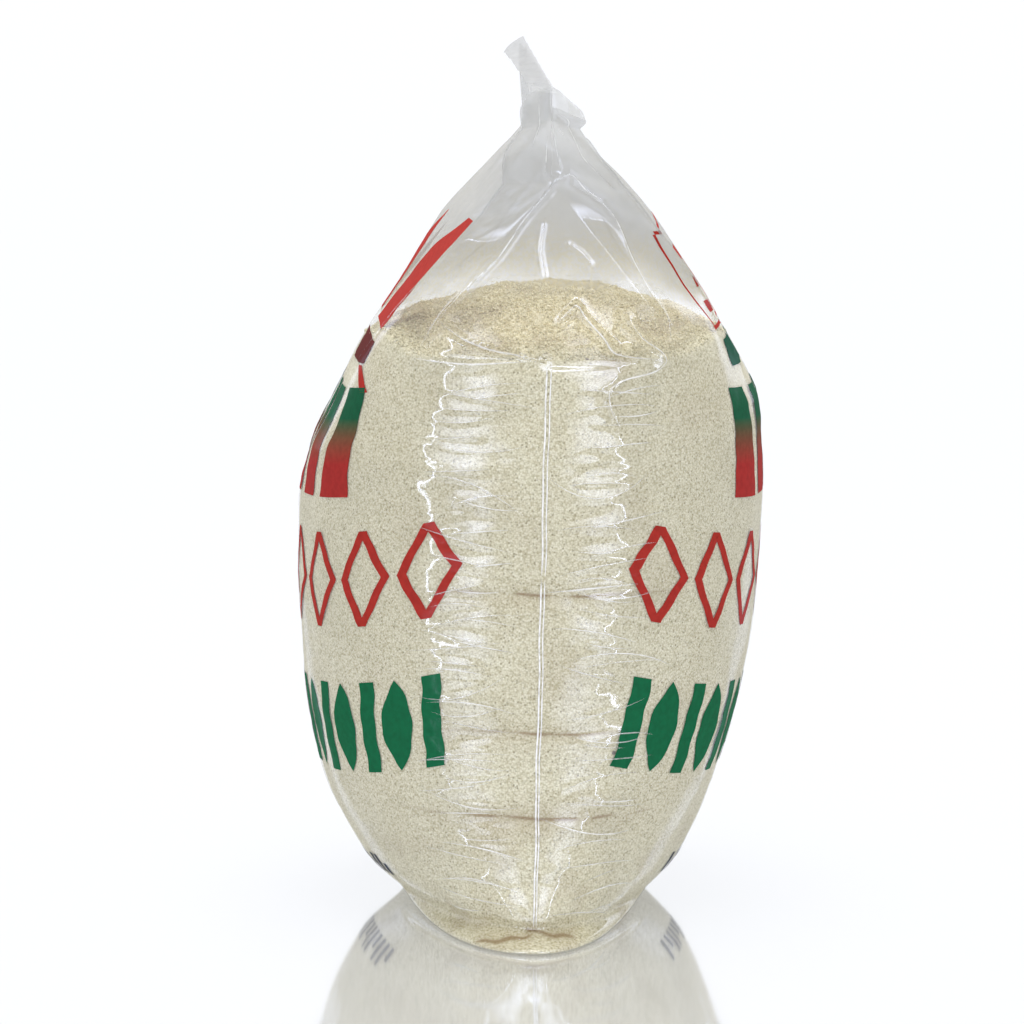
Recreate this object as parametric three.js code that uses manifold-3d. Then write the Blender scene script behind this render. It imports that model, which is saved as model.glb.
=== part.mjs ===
// A sealed clear film bag packed with garri, standing on its flattened underside.
// Millimetres, +Z up. The narrow gusset ends face -Y and +Y, the two wide printed faces face -X and +X.
// The bag is one closed solid: a loft of level sections, with the folded-over top seal joined to it.
import * as THREE from "three";
import { mergeVertices } from "three/addons/utils/BufferGeometryUtils.js";
import Module from "manifold-3d";

// Heights above the floor.
const SEAL_Z = 323; // where the two faces meet at the top
const EAR_Z = 336; // top edge of the film above the seal
const LEFT_SHOULDER_Z = 168; // the -X face leaves the round body here and leans in to the seal
const RIGHT_SHOULDER_Z = 205; // the same on the +X face
const FILL_Z = 236; // level of the garri, above which the film end caves in
const FLAP_TOP_Z = 288; // apex of the triangular flap in each gusset end

// Widths across the bag.
const SEAL_HALF = 124; // half the length of the seals, which run along Y
const SEAL_X = 3.3; // the top seal's place across the bag, at its middle
const SEAL_TURN = 6.2; // how far its ends are turned out of line: right at -Y, left at +Y
const SEAL_THICK = 1.4; // all its layers together
const EAR_OPEN_FROM = 0.68; // share of SEAL_HALF beyond which the layers spread apart
const EAR_LEFT = [[300, 0], [315, 11.5], [SEAL_Z, 13], [330, 13.6], [EAR_Z, 10.6]]; // [height, spread]
const EAR_RIGHT = [[300, 0], [315, 7], [SEAL_Z, 8.6], [329, 11], [EAR_Z, 4.5]];
const FAR_EAR_SHARE = 0.1; // the +Y end spreads this much as far as the -Y end
const FAR_SLUMP = 0.16; // the film above the garri lies this much lower per unit of depth towards +Y
const FLAP_HALF = 44; // half width of the flap's base

// Roundness of the level sections: 2 is an ellipse, less is more pointed towards the bottom seal.
const ROUNDNESS = [[0, 1.42], [8, 1.46], [25, 1.72], [60, 2.08], [110, 2.15], [EAR_Z, 2.15]];

// Outlines as [height, distance] points, joined by a smooth curve that never overshoots.
const LEFT_OUTLINE = [
  [0, -52], [2, -56.5], [7, -60.3], [13, -64.9], [19.5, -69.6], [32, -76.7], [44, -82], [69, -88.5], [95, -92.4],
  [130, -94], [155, -93.8], [168, -93], [180, -90], [205, -79], [230, -66.5], [254, -50.7], [279, -35.3],
  [291, -24.6], [304, -12.2], [311, -5.5], [SEAL_Z, SEAL_X - SEAL_THICK / 2],
];
const RIGHT_OUTLINE = [
  [0, 43], [2, 48], [7, 53.8], [13, 58.2], [19.5, 62.2], [32, 68.4], [44, 72.8], [69, 81.2], [95, 87.4],
  [130, 92], [165, 94], [195, 93.2], [204, 92], [217, 86], [230, 78.8], [254, 64.8], [279, 48], [291, 37.6],
  [304, 24], [311, 17], [SEAL_Z, SEAL_X + SEAL_THICK / 2],
];
const LEFT_RIDGE = [
  [LEFT_SHOULDER_Z, -93], [185, -88.5], [201, -80], [218, -71.5], [229, -65.3], [245, -55], [265, -40],
  [285, -25], [299, -16.5], [312, -6], [SEAL_Z, SEAL_X - SEAL_THICK / 2],
];
const RIGHT_RIDGE = [
  [RIGHT_SHOULDER_Z, 92], [224, 82], [240, 73], [262, 60], [280, 46], [300, 29.5], [312, 14], [SEAL_Z, SEAL_X + SEAL_THICK / 2],
];
const END_CENTRE_X = [[0, 1.5], [54, 2.4], [146, 4.6], [231, 6.2], [270, 5], [305, SEAL_X], [EAR_Z, SEAL_X]];
const END_DEPTH = [
  [0, 119], [1.5, 124], [3.5, 121.5], [6, 115.5], [8, 112.5], [11, 112.5], [16, 111.5], [25, 108.8], [54, 107.5], [120, 109],
  [180, 108.5], [FILL_Z, 105], [FLAP_TOP_Z, 92], [305, 91.5], [EAR_Z, 93],
];

// Creases across each gusset end, where the garri has settled and the film has folded in.
const CREASES = [
  { z: 7.5, depth: 2.2, height: 2, halfWidth: 26 },
  { z: 51, depth: 2.4, height: 3, halfWidth: 46 },
  { z: 85, depth: 1.4, height: 3, halfWidth: 34 },
  { z: 140, depth: 1.8, height: 3, halfWidth: 40 },
  { z: 231, depth: 2.6, height: 3.4, halfWidth: 48 },
];

// The folded-over edge of the top seal: a web inside the seal and a strip that lies over to the left.
const WEB_THICK = 0.7;
const WEB_BOTTOM_Z = EAR_Z - 6;
const STRIP_WIDTH = 9.3;
const STRIP_THICK = 1;
const STRIP_NEAR_Z = EAR_Z + 0.5;
const STRIP_FAR_Z = EAR_Z + 2.6;
const STRIP_FAR_DROOP = THREE.MathUtils.degToRad(34); // it lies flat at the -Y end
const STRIP_STEPS = 16;

// Fineness of the loft.
const FACE_STEPS = 6; // points from the middle of a face to its ridge
const END_STEPS = 13; // points from a ridge to the middle of a gusset end
const SAMPLES = 96; // fine points measured along each quarter before it is shared out
const MERGE = 0.02; // the joined solid is simplified to this
const LEVEL_HEIGHTS = [
  0, 0.8, 2, 3.5, 5, 6.5, 8, 10, 14, 19, 25, 34, 42, 47, 51, 55, 63, 74, 85, 96, 108, 122, 134, 140, 147, 158, 168,
  180, 192, 205, 214, 222, 227, 231, 235, 241, 249, 257, 266, 276, 284, 291, 298, 304, 311, 317, SEAL_Z, 329, EAR_Z,
];

const BAG_COLOUR = 0xd2cdb8;
const BAG_ROUGHNESS = 0.3;

const clamp01 = (x) => Math.min(1, Math.max(0, x));
const mix = (a, b, t) => a + (b - a) * t;

function smoothstep(from, to, x) {
  const t = clamp01((x - from) / (to - from));
  return t * t * (3 - 2 * t);
}

// The slope of a smooth curve through the points at each of them, flat where the points turn back.
function slopesOf(points) {
  const rises = points.slice(1).map(([x, y], i) => (y - points[i][1]) / (x - points[i][0]));
  return points.map((_, i) => {
    const before = rises[Math.max(0, i - 1)];
    const after = rises[Math.min(rises.length - 1, i)];
    return before * after <= 0 ? 0 : (2 * before * after) / (before + after);
  });
}

// A function that follows the outline's points smoothly and holds its end values beyond them.
function curveThrough(points) {
  const slopes = slopesOf(points);
  return (x) => {
    if (x <= points[0][0]) return points[0][1];
    const i = points.findIndex(([end]) => end >= x) - 1;
    if (i < 0) return points.at(-1)[1];
    const [x0, y0] = points[i];
    const [x1, y1] = points[i + 1];
    const width = x1 - x0;
    const t = (x - x0) / width;
    const t2 = t * t;
    const t3 = t2 * t;
    return (
      y0 * (2 * t3 - 3 * t2 + 1) + y1 * (3 * t2 - 2 * t3) +
      width * (slopes[i] * (t3 - 2 * t2 + t) + slopes[i + 1] * (t3 - t2))
    );
  };
}

const outlineAt = { left: curveThrough(LEFT_OUTLINE), right: curveThrough(RIGHT_OUTLINE) };
const ridgeAt = { left: curveThrough(LEFT_RIDGE), right: curveThrough(RIGHT_RIDGE) };
const earSpreadAt = { left: curveThrough(EAR_LEFT), right: curveThrough(EAR_RIGHT) };
const shoulderOf = { left: LEFT_SHOULDER_Z, right: RIGHT_SHOULDER_Z };
const signOf = { left: -1, right: 1, near: -1, far: 1 };
const endCentreAt = curveThrough(END_CENTRE_X);
const endDepthAt = curveThrough(END_DEPTH);
const roundnessAt = curveThrough(ROUNDNESS);

// Half the length of a face's flat part at height z: none at the shoulder, the whole seal at the top.
function flatHalf(side, z) {
  return SEAL_HALF * clamp01((z - shoulderOf[side]) / (SEAL_Z - shoulderOf[side]));
}

// The face from its middle (s 0) to its ridge (s 1): bowed lower down, spread apart at the seal's ends.
function facePoint(side, end, z, s) {
  const ridgeX = z > shoulderOf[side] ? ridgeAt[side](z) : outlineAt[side](z);
  const opened = smoothstep(EAR_OPEN_FROM, 1, s) * (end === "near" ? 1 : FAR_EAR_SHARE);
  const x = mix(outlineAt[side](z), ridgeX, s * s) + signOf[side] * earSpreadAt[side](z) * opened;
  return [x, flatHalf(side, z) * s];
}

// The gusset end from the ridge (s 0) to its middle fold (s 1): round below the fill, and above it
// the flap and the wing beside it, which draw together into a notch between the seal's layers.
function endPoint(side, end, z, s) {
  const [ridgeX, ridgeY] = facePoint(side, end, z, 1);
  const centreX = endCentreAt(z);
  const depth = endDepthAt(z);
  const angle = (s * Math.PI) / 2;
  const power = 2 / roundnessAt(z);
  const roundX = mix(centreX, ridgeX, Math.cos(angle) ** power);
  const roundY = mix(ridgeY, depth, Math.sin(angle) ** power);
  const flapShare = clamp01((FLAP_TOP_Z - z) / (FLAP_TOP_Z - FILL_Z));
  const foldX = centreX + signOf[side] * FLAP_HALF * flapShare;
  const foldY = depth - 1.5 * flapShare;
  const foldAt = 0.5;
  const creasedX = s < foldAt ? mix(ridgeX, foldX, s / foldAt) : mix(foldX, centreX, (s - foldAt) / (1 - foldAt));
  const creasedY = s < foldAt ? mix(ridgeY, foldY, s / foldAt) : mix(foldY, depth, (s - foldAt) / (1 - foldAt));
  const creased = smoothstep(FILL_Z - 4, FILL_Z + 22, z);
  return [mix(roundX, creasedX, creased), mix(roundY, creasedY, creased)];
}

// How far the creases pull the film of a gusset end in at (x, z).
function creaseDepth(x, z) {
  return CREASES.reduce((sum, c) => {
    const across = clamp01(1 - Math.abs(x - endCentreAt(z)) / c.halfWidth);
    return sum + c.depth * Math.exp(-(((z - c.z) / c.height) ** 2)) * Math.sqrt(across);
  }, 0);
}

// Points along a quarter of the section, from the middle of a face to the middle of a gusset end.
function quarter(side, end, z) {
  const fine = [];
  for (let i = 0; i <= SAMPLES; i++) fine.push(facePoint(side, end, z, i / SAMPLES));
  const ridgeIndex = fine.length - 1;
  for (let i = 1; i <= SAMPLES; i++) fine.push(endPoint(side, end, z, i / SAMPLES));
  const lengths = [0];
  for (let i = 1; i < fine.length; i++)
    lengths.push(lengths[i - 1] + Math.hypot(fine[i][0] - fine[i - 1][0], fine[i][1] - fine[i - 1][1]));
  const total = lengths.at(-1);
  const steps = FACE_STEPS + END_STEPS;
  const risen = clamp01((z - shoulderOf[side]) / (SEAL_Z - shoulderOf[side]));
  const ridgeLength = mix((FACE_STEPS / steps) * total, lengths[ridgeIndex], smoothstep(0.08, 0.35, risen));
  const at = (length) => {
    const i = Math.min(lengths.length - 2, Math.max(0, lengths.findIndex((l) => l >= length) - 1));
    const t = clamp01((length - lengths[i]) / Math.max(1e-9, lengths[i + 1] - lengths[i]));
    return [mix(fine[i][0], fine[i + 1][0], t), mix(fine[i][1], fine[i + 1][1], t)];
  };
  const points = [];
  for (let i = 0; i <= FACE_STEPS; i++) points.push(at((ridgeLength * i) / FACE_STEPS));
  for (let i = 1; i < END_STEPS; i++) points.push(at(mix(ridgeLength, total, i / END_STEPS)));
  points.push(fine.at(-1));
  return points;
}

// How far the seal's turn carries a point sideways.
const turnAt = (y, z) => (-SEAL_TURN * smoothstep(205, 315, z) * y) / SEAL_HALF;

// How far the slack film above the garri hangs down towards the +Y end; the seal itself stays level.
const slumpAt = (y, z) => (z > SEAL_Z ? 0 : FAR_SLUMP * Math.max(0, y) * smoothstep(190, 285, z));

// One closed level section, as 3D points anticlockwise seen from above, from the middle of the -X face.
function section(z) {
  const near = [...quarter("left", "near", z), ...quarter("right", "near", z).slice(0, -1).reverse()];
  const far = [...quarter("right", "far", z).slice(1), ...quarter("left", "far", z).slice(1, -1).reverse()];
  const place = ([x, y], end) => {
    const pulled = y - creaseDepth(x, z) * smoothstep(0.8, 0.95, y / endDepthAt(z));
    const depth = signOf[end] * (z < FLAP_TOP_Z ? pulled : y);
    return new THREE.Vector3(x + turnAt(depth, z), depth, z - slumpAt(depth, z));
  };
  return [...near.map((p) => place(p, "near")), ...far.map((p) => place(p, "far"))];
}

// A closed surface through rings of equally many points, with a flat cap on the first and last ring.
function loft(rings) {
  const count = rings[0].length;
  const indices = [];
  for (let r = 0; r < rings.length - 1; r++)
    for (let i = 0; i < count; i++) {
      const a = r * count + i;
      const b = r * count + ((i + 1) % count);
      indices.push(a, b, b + count, a, b + count, a + count);
    }
  const cap = (ring, first, facesDown) => {
    const flat = ring.map((p) => new THREE.Vector2(p.x, p.y));
    for (const [a, b, c] of THREE.ShapeUtils.triangulateShape(flat, []))
      indices.push(first + a, first + (facesDown ? c : b), first + (facesDown ? b : c));
  };
  cap(rings[0], 0, true);
  cap(rings.at(-1), (rings.length - 1) * count, false);
  return new THREE.BufferGeometry().setFromPoints(rings.flat()).setIndex(indices);
}

// The folded edge's section at a share t of its way from the -Y end to the +Y end: an upside-down L.
function stripSection(t) {
  const y = mix(-SEAL_HALF, SEAL_HALF, t);
  const droop = STRIP_FAR_DROOP * t * t;
  const x = SEAL_X + turnAt(y, EAR_Z);
  const z = mix(STRIP_NEAR_Z, STRIP_FAR_Z, t);
  const along = [-Math.cos(droop) * STRIP_WIDTH, -Math.sin(droop) * STRIP_WIDTH];
  const up = [-Math.sin(droop) * STRIP_THICK, Math.cos(droop) * STRIP_THICK];
  const half = WEB_THICK / 2;
  return [
    [x - half, WEB_BOTTOM_Z], [x + half, WEB_BOTTOM_Z], [x + half, z], [x + half + up[0], z + up[1]],
    [x + along[0] + up[0], z + along[1] + up[1]], [x + along[0], z + along[1]], [x - half, z],
  ].map(([px, pz]) => new THREE.Vector3(px, y, pz));
}

// The folded edge as a closed loft of those sections along Y.
function stripGeometry() {
  const rings = [];
  for (let i = 0; i <= STRIP_STEPS; i++) rings.push(stripSection(i / STRIP_STEPS));
  const count = rings[0].length;
  const indices = [];
  for (let r = 0; r < STRIP_STEPS; r++)
    for (let i = 0; i < count; i++) {
      const a = r * count + i;
      const b = r * count + ((i + 1) % count);
      indices.push(a, b + count, b, a, a + count, b + count);
    }
  const last = STRIP_STEPS * count;
  const flat = rings[0].map((p) => new THREE.Vector2(p.x, p.z));
  for (const [a, b, c] of THREE.ShapeUtils.triangulateShape(flat, [])) {
    indices.push(a, b, c);
    indices.push(last + a, last + c, last + b);
  }
  return new THREE.BufferGeometry().setFromPoints(rings.flat()).setIndex(indices);
}

const wasm = await Module();
wasm.setup();

// A closed three.js geometry as a solid that can be joined.
function solidOf(geometry) {
  const merged = mergeVertices(geometry);
  return new wasm.Manifold(
    new wasm.Mesh({
      numProp: 3,
      vertProperties: new Float32Array(merged.attributes.position.array),
      triVerts: new Uint32Array(merged.index.array),
    }),
  );
}

// The joined solid back as a geometry to draw.
function geometryOf(solid) {
  const mesh = solid.getMesh();
  const geometry = new THREE.BufferGeometry();
  geometry.setAttribute("position", new THREE.BufferAttribute(mesh.vertProperties, 3));
  geometry.setIndex(new THREE.BufferAttribute(mesh.triVerts, 1));
  geometry.computeVertexNormals();
  return geometry;
}

const filled = solidOf(loft(LEVEL_HEIGHTS.map(section)));
const strip = solidOf(stripGeometry());

const bag = new THREE.Mesh(
  geometryOf(filled.add(strip).simplify(MERGE)),
  new THREE.MeshStandardMaterial({ color: BAG_COLOUR, roughness: BAG_ROUGHNESS, metalness: 0 }),
);
bag.name = "bag";

const part = new THREE.Group();
part.add(bag);

export default part;
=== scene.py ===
"""A clear film bag packed with garri, standing on a pale glossy floor, seen from one of its gusset ends.

Lengths are in millimetres and become metres where a mesh is made. +Z is up. The seals run along Y, the two
narrow gusset ends face -Y (near, the photographed one) and +Y (far), the wide printed faces -X and +X.
"""

import math

import bpy
import numpy as np
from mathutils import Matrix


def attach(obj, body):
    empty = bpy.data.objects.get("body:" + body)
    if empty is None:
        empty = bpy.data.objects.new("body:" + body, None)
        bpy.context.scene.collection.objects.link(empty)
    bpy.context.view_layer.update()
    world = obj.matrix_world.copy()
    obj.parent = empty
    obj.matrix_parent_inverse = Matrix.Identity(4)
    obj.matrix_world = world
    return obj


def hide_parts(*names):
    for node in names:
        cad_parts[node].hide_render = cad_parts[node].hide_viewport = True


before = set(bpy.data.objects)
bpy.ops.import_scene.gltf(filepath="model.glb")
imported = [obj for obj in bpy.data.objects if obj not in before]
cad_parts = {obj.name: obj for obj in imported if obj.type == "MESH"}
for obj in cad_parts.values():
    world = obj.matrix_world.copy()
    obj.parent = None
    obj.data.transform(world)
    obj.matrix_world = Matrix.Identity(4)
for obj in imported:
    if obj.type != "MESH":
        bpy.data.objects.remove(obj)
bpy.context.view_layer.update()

MM = 0.001
NODE = "bag"

# --- The bag's form ---

# Its solid's driving dimensions, but with a narrower and blunter foot and shallower settled creases.

SEAL_Z = 323.0  # where the two faces meet at the top
EAR_Z = 336.0  # top edge of the film above the seal
SHOULDER_Z = {"left": 168.0, "right": 205.0}  # above this each face leans in to the seal
FILL_Z = 236.0  # above this the gusset ends cave in
FLAP_TOP_Z = 299.0  # apex of the triangular flap in each gusset end
FLAP_HALF = 52.0  # half width of the flap's base
SEAL_HALF = 124.0  # half the length of the seals
SEAL_X = 3.3  # of the seal's middle
SEAL_TURN = 6.2  # how far its near end is turned to +X and its far end to -X
SEAL_THICK = 0.7
EAR_OPEN_FROM = 0.68  # this far out from the middle of the seal its film starts to open again
EAR_CUT = ((-22, -14, -6, -4, 0, 1), (0, 1.2, 2.2, 5.0, 7.0, 7.0))  # near right corner: from ridge, drop
FAR_EAR_SHARE = 0.1  # how far it opens at the far end, of how far at the near one
FAR_SLUMP = 0.16  # how much the loose film sinks for each millimetre towards the far end
FAR_TURN_SHARE = 0.3  # how much of the seal's turn the film under it takes at the far end
SIGN = {"left": -1.0, "right": 1.0, "near": -1.0, "far": 1.0}

# Each face's middle and, above its shoulder, its ridge: height, x.
OUTLINE = {
    "left": [
        (0, -45.5), (2, -50), (7, -57), (13, -64), (19.5, -69.6), (32, -76.7), (44, -82), (69, -88.5),
        (95, -92.4), (130, -94), (155, -93.8), (168, -93), (180, -90), (205, -79), (230, -66.5),
        (254, -50.7), (279, -35.3), (291, -24.6), (304, -12.2), (311, -5.5),
        (SEAL_Z, SEAL_X - SEAL_THICK / 2),
    ],
    "right": [
        (0, 39.5), (2, 44), (7, 51.5), (13, 57.5), (19.5, 62.2), (32, 68.4), (44, 72.8), (69, 81.2),
        (95, 87.4), (130, 92), (165, 94), (195, 93.2), (204, 92), (217, 86), (230, 78.8), (254, 64.8),
        (279, 48), (291, 37.6), (304, 24), (311, 17), (SEAL_Z, SEAL_X + SEAL_THICK / 2),
    ],
}
RIDGE = {
    "left": [
        (168, -93), (185, -88.5), (201, -80), (218, -71.5), (229, -65.3), (245, -55), (265, -40),
        (285, -25), (299, -16.5), (312, -6), (SEAL_Z, SEAL_X - SEAL_THICK / 2),
    ],
    "right": [
        (205, 92), (224, 82), (240, 73), (262, 60), (280, 46), (300, 29.5), (312, 14),
        (SEAL_Z, SEAL_X + SEAL_THICK / 2),
    ],
}
# How far the film opens again beside the seal's near end: height, x.
EAR_SPREAD = {
    "left": [(300, 0), (315, 11.5), (SEAL_Z, 13), (330, 13.6), (EAR_Z, 10.6)],
    "right": [(300, 0), (315, 7), (SEAL_Z, 8.6), (329, 11), (EAR_Z, 4.5)],
}
# A gusset end's level section: the power of its rounding, x of its middle and how far out that is.
ROUNDNESS = [(0, 2.1), (2.5, 1.9), (7, 1.55), (25, 1.72), (60, 2.08), (110, 2.15), (EAR_Z, 2.15)]
END_CENTRE_X = [(0, 1.5), (54, 2.4), (146, 4.6), (231, 6.2), (270, 5), (305, SEAL_X), (EAR_Z, SEAL_X)]
END_DEPTH = [
    (0, 124), (1.5, 125), (3.5, 121.5), (6, 115.5), (8, 112.5), (11, 112.5), (16, 111.5), (25, 108.8),
    (54, 107.5), (120, 109), (180, 108.5), (FILL_Z, 105), (FLAP_TOP_Z, 92), (306, 91.5), (EAR_Z, 93),
]
# Creases across each gusset end where the garri has settled: height, depth, half height, half width.
SETTLED = [(7.5, 2.2, 2, 26), (51, 1.0, 3, 46), (85, 1.0, 3, 34), (140, 1.2, 3, 40), (231, 2.2, 3.4, 48)]

SECTION_SAMPLES = 96  # steps along a face and along an end, before columns are shared out along them
# Columns of a quarter of the bag, across the face and across the gusset end: at the near and the far end.
FILM_COLUMNS = ((38, 124), (24, 56))
GARRI_COLUMNS = ((30, 76), (22, 46))

# --- The garri ---

GARRI_INSET = 0.3  # under the film
# Up to here it touches the film: at the near end, at its ridges, halfway back and at the far end.
GARRI_WALL_Z = {"near": 231.0, "ridge": 240.0, "half": 229.0, "far": 222.0}
MOUND_TOP = (10.0, -5.0, 249.0)
MOUND_POWER = 1.9  # of its fall from its top to its edge
GRAIN_COUNT = 18500
GRAIN_SIZE = (0.45, 0.95)  # half lengths
CLINGING_GRAINS = 5500
CLINGING_SIZE = 0.36  # of a lying grain's
GARRI_FOOT_Z = 0.9
# Tucks of the near base corner, darkened with painted shade: from and to (x, height).
BASE_CREASES = [((-22.0, 2.2), (0.5, 5.9)), ((-2.4, 7.6), (17.5, 3.9))]
# The dark lines are painted shade along the base's tucks, and fines with painted shade along the settled
# creases.
BASE_LINE, SETTLED_LINE = 0.36, 0.6  # half thickness of the dark lines along these and the settled creases
# Rows of points up its wall, closer together at the foot and the stained creases: height, how many to it.
WALL_ROWS = [(13, 40), (48, 20), (54, 14), (82, 18), (88, 14), (137, 26), (143, 14)]
WALL_TOP_ROWS = 52
MOUND_ROWS = 70

# --- The film ---

FREE_VEIL = 0.5  # how milky it is above the garri
HAZE_FROM = (261.0, 247.0)  # it is milky from here up, at the middle of an end and at its ridges
NEAR_HAZE_UP = 3.0  # this much higher at the middle of the near end
EAR_VEIL, EAR_VEIL_DEPTH = 0.45, 30.0  # how milky it is at its top edge, and how far down that reaches
FILM_GREY, SEAL_GREY = (0.63, 0.635, 0.63, 1), (0.52, 0.525, 0.535, 1)
# The double line down each gusset end, and the width of each of its beads.
FOLD_LINE = {"foot": 7.0, "top": 231.0, "break": 147.0, "apart_foot": 0.9, "apart_top": 1.7, "bead": 0.68}

# Creases drawn pale with painted highlight: their width, the step along them, and how high a crinkle rises
# that has one.
CREASE_WIDTH, CREASE_STEP, CREASED_RISE = 0.75, 1.3, 0.3

# --- The folded edge of the top seal ---

STRIP_WIDTH = 9.3
STRIP_DROOP = math.radians(34)  # at the far end
STRIP_ROWS, STRIP_COLUMNS = 130, 13
STRIP_ROUNDING = 24.0  # how far its lower corner is rounded back at the far end
# From the far end to the near one: length, y, z, left x, right x, how milky.
STRIP_PATH = [
    (0, 124, 339, -11.0, -2.9, 0.7),
    (60, 64, 338.4, -9.2, 0.1, 0.7),
    (120, 4, 337.8, -6.2, 3.1, 0.7),
    (180, -56, 337.2, -3.2, 6.1, 0.55),
    (215, -91, 336.8, -1.6, 8.2, 0.25),
    (241, -117, 336.4, -0.8, 9.6, 0.0),
]

# --- Camera ---

CAMERA_AT = (-7.5, -2400.0, 538.0)
CAMERA_AIM = (-7.5, 0.0, 155.5)
CAMERA_LENS = 210.4  # on a 36 mm sensor


def curve_through(points):
    """A smooth function through (x, y) points that never overshoots and holds its end values."""
    x, y = np.array(points, float).T
    rises = np.diff(y) / np.diff(x)
    before = np.concatenate([rises[:1], rises])
    after = np.concatenate([rises, rises[-1:]])
    product = before * after
    total = np.where(before + after == 0, 1, before + after)
    slopes = np.where(product > 0, 2 * product / total, 0)

    def value(at):
        at = np.clip(at, x[0], x[-1])
        i = np.clip(np.searchsorted(x, at, side="right") - 1, 0, len(x) - 2)
        width = x[i + 1] - x[i]
        t = (at - x[i]) / width
        ends = y[i] * (2 * t**3 - 3 * t**2 + 1) + y[i + 1] * (3 * t**2 - 2 * t**3)
        return ends + width * (slopes[i] * (t**3 - 2 * t**2 + t) + slopes[i + 1] * (t**3 - t**2))

    return value


def mix(a, b, t):
    return a + (b - a) * t


def smoothstep(start, end, x):
    t = np.clip((x - start) / (end - start), 0, 1)
    return t * t * (3 - 2 * t)


outline_at = {side: curve_through(OUTLINE[side]) for side in OUTLINE}
ridge_at = {side: curve_through(RIDGE[side]) for side in RIDGE}
ear_at = {side: curve_through(EAR_SPREAD[side]) for side in EAR_SPREAD}
end_centre_at = curve_through(END_CENTRE_X)
end_depth_at = curve_through(END_DEPTH)
roundness_at = curve_through(ROUNDNESS)


def face_points(side, end, z, s):
    """Points of a face from its middle (s 0) to its ridge (s 1), for level heights z."""
    shoulder = SHOULDER_Z[side]
    ridge_x = np.where(z > shoulder, ridge_at[side](z), outline_at[side](z))
    opened = smoothstep(EAR_OPEN_FROM, 1, s) * (1 if end == "near" else FAR_EAR_SHARE)
    x = mix(outline_at[side](z), ridge_x, s * s) + SIGN[side] * ear_at[side](z) * opened
    y = SEAL_HALF * np.clip((z - shoulder) / (SEAL_Z - shoulder), 0, 1) * s
    return x, y


def end_points(side, end, z, s):
    """Points of a gusset end from the ridge (s 0) to its middle fold (s 1)."""
    ridge_x, ridge_y = face_points(side, end, z, np.ones_like(s))
    centre, depth = end_centre_at(z), end_depth_at(z)
    angle = s * math.pi / 2
    power = 2 / roundness_at(z)
    round_x = mix(centre, ridge_x, np.cos(angle) ** power)
    round_y = mix(ridge_y, depth, np.sin(angle) ** power)
    share = np.clip((FLAP_TOP_Z - z) / (FLAP_TOP_Z - FILL_Z), 0, 1)
    fold_x = centre + SIGN[side] * FLAP_HALF * share
    fold_y = depth - 1.5 * share
    out, inn = s * 2, s * 2 - 1
    creased_x = np.where(s < 0.5, mix(ridge_x, fold_x, out), mix(fold_x, centre, inn))
    creased_y = np.where(s < 0.5, mix(ridge_y, fold_y, out), mix(fold_y, depth, inn))
    creased = smoothstep(FILL_Z - 4, FILL_Z + 22, z)
    return mix(round_x, creased_x, creased), mix(round_y, creased_y, creased)


def quarter(side, end, levels, face_columns, end_columns):
    """A quarter of the bag from the middle of a face to the middle fold of an end, shared out by length.
    Returns x, y and the length along the section, one row for each level."""
    z = levels[:, None]
    s = np.linspace(0, 1, SECTION_SAMPLES + 1)[None, :] * np.ones_like(z)
    face = face_points(side, end, z, s)
    tail = end_points(side, end, z, s[:, 1:])
    x = np.concatenate([face[0], tail[0]], 1)
    y = np.concatenate([face[1], tail[1]], 1)
    steps = np.hypot(np.diff(x), np.diff(y))
    lengths = np.concatenate([np.zeros((len(levels), 1)), np.cumsum(steps, 1)], 1)
    total = lengths[:, -1]
    risen = np.clip((levels - SHOULDER_Z[side]) / (SEAL_Z - SHOULDER_Z[side]), 0, 1)
    # Low down the columns are shared out evenly. Higher up the last one of the face lies along the ridge.
    even = total * face_columns / (face_columns + end_columns)
    ridge = mix(even, lengths[:, SECTION_SAMPLES], smoothstep(0.08, 0.35, risen))
    wanted = np.concatenate(
        [
            ridge[:, None] * np.linspace(0, 1, face_columns + 1),
            mix(ridge[:, None], total[:, None], np.linspace(0, 1, end_columns + 1)[1:]),
        ],
        1,
    )
    rows = range(len(levels))
    new_x = np.array([np.interp(wanted[r], lengths[r], x[r]) for r in rows])
    new_y = np.array([np.interp(wanted[r], lengths[r], y[r]) for r in rows])
    return new_x, new_y, wanted, ridge


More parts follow.
